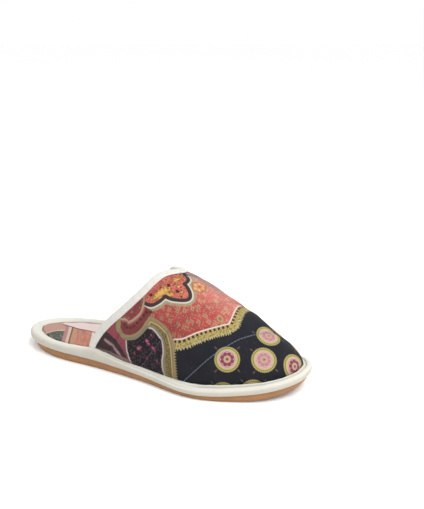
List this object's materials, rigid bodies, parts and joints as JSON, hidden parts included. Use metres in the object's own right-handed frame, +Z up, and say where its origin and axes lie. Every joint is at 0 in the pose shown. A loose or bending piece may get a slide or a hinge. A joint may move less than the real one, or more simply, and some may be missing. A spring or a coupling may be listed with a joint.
{
  "type": "mule slipper",
  "caption": "Closed-toe, backless house slipper with a quilted cotton upper, a padded bound sole edge, a footbed and a thin rubber outsole.",
  "frame": {"origin": "on the floor, under the middle of the slipper's length and width", "axes": "+X from heel to toe, +Y to the wearer's left, which is the big-toe side of this right shoe, +Z up"},
  "size_m": [0.268, 0.0998, 0.0848],
  "materials": {
    "outsole_rubber": "matte tan rubber",
    "printed_footbed": "printed cotton over foam",
    "cream_cotton": "plain cotton tape",
    "printed_cotton": "quilted printed cotton"
  },
  "bodies": {
    "root": {"outsole": "outsole_rubber", "footbed": "printed_footbed", "sole_binding": "cream_cotton", "upper": "printed_cotton", "collar_binding": "cream_cotton"}
  },
  "joints": []
}
